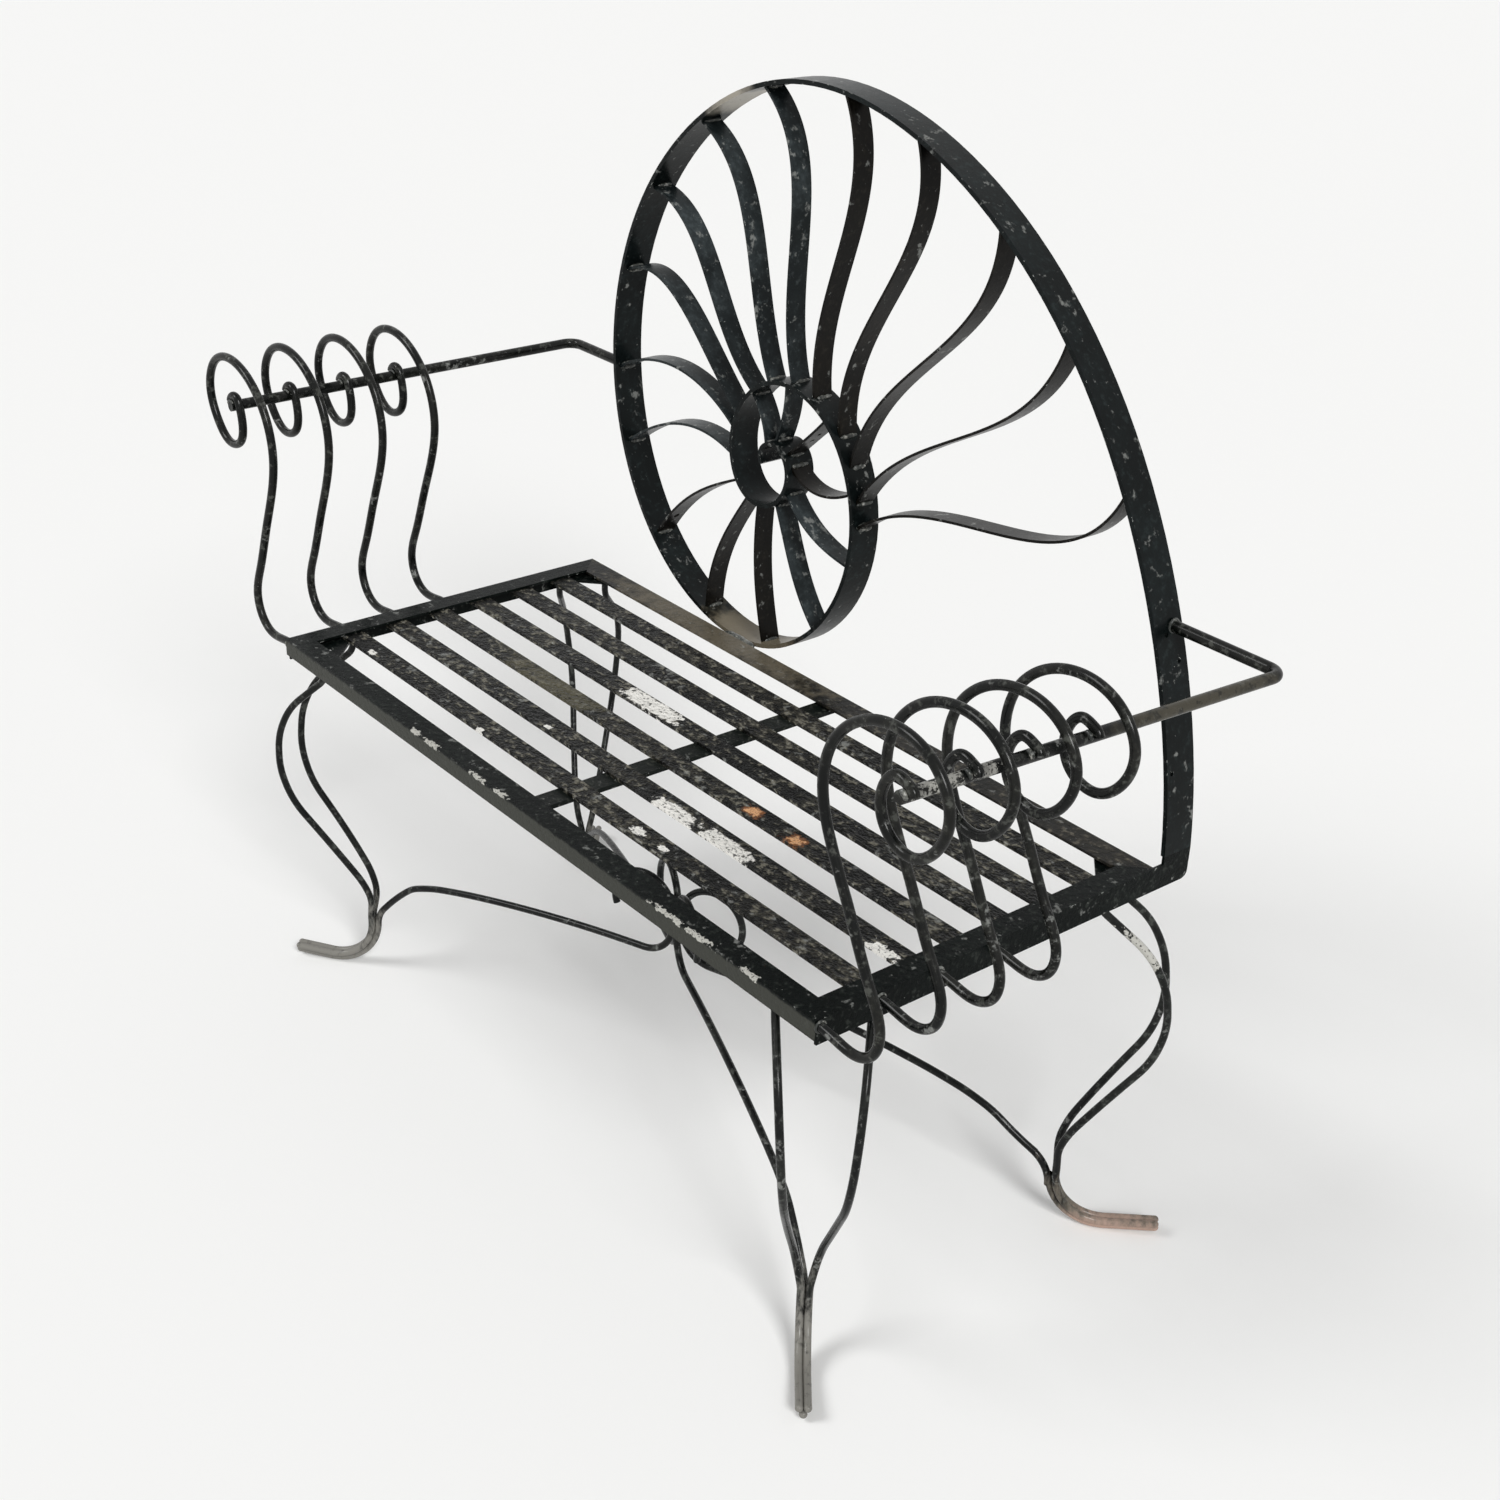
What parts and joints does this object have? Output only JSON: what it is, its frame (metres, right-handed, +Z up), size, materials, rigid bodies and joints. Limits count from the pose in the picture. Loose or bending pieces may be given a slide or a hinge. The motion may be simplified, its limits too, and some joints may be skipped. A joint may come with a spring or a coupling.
{
  "type": "garden loveseat",
  "caption": "Wrought iron garden loveseat with a slatted seat, a spiral shell back, scrolled rod arms and curved rod legs.",
  "frame": {"origin": "centre of the footprint, on the floor", "axes": "+X along the seat to the sitter's left (the post side), +Y to the back, +Z up; the front faces -Y"},
  "size_m": [1.234, 0.5076, 1.0821],
  "materials": {
    "frame_iron": "old black paint, chipped at the edges",
    "slat_iron": "worn black paint with rust and pale scuffs",
    "shell_iron": "old black paint, slightly grey",
    "rib_iron": "old black paint, slightly grey",
    "arm_iron": "satin black paint",
    "leg_iron": "satin black paint, worn at the feet",
    "weld": "painted-over weld bead"
  },
  "bodies": {
    "root": {"arm_rail_left": "arm_iron", "arm_rail_right": "arm_iron", "arm_scroll_left_1": "arm_iron", "arm_scroll_left_2": "arm_iron", "arm_scroll_left_3": "arm_iron", "arm_scroll_left_4": "arm_iron", "arm_scroll_right_1": "arm_iron", "arm_scroll_right_2": "arm_iron", "arm_scroll_right_3": "arm_iron", "arm_scroll_right_4": "arm_iron", "back_rail": "frame_iron", "crossbar": "slat_iron", "front_rail": "frame_iron", "gusset_back_left": "frame_iron", "gusset_back_right": "frame_iron", "gusset_front_left": "frame_iron", "left_end_rail": "frame_iron", "leg_back_left_end_rod": "leg_iron", "leg_back_left_rail_rod": "leg_iron", "leg_back_right_end_rod": "leg_iron", "leg_back_right_rail_rod": "leg_iron", "leg_front_left_end_rod": "leg_iron", "leg_front_left_rail_rod": "leg_iron", "leg_front_right_end_rod": "leg_iron", "leg_front_right_rail_rod": "leg_iron", "rib_01": "rib_iron", "rib_02": "rib_iron", "rib_03": "rib_iron", "rib_04": "rib_iron", "rib_05": "rib_iron", "rib_06": "rib_iron", "rib_07": "rib_iron", "rib_08": "rib_iron", "rib_09": "rib_iron", "rib_10": "rib_iron", "rib_11": "rib_iron", "rib_12": "rib_iron", "rib_13": "rib_iron", "rib_14": "rib_iron", "rib_15": "rib_iron", "rib_16": "rib_iron", "rib_17": "rib_iron", "rib_18": "rib_iron", "rib_19": "rib_iron", "rib_20": "rib_iron", "right_end_rail": "frame_iron", "shell_band": "shell_iron", "shell_weld": "weld", "slat_1": "slat_iron", "slat_2": "slat_iron", "slat_3": "slat_iron", "slat_4": "slat_iron", "slat_5": "slat_iron", "slat_6": "slat_iron", "stretcher_back_left": "leg_iron", "stretcher_back_right": "leg_iron", "stretcher_front_left": "leg_iron", "stretcher_front_right": "leg_iron"}
  },
  "joints": []
}
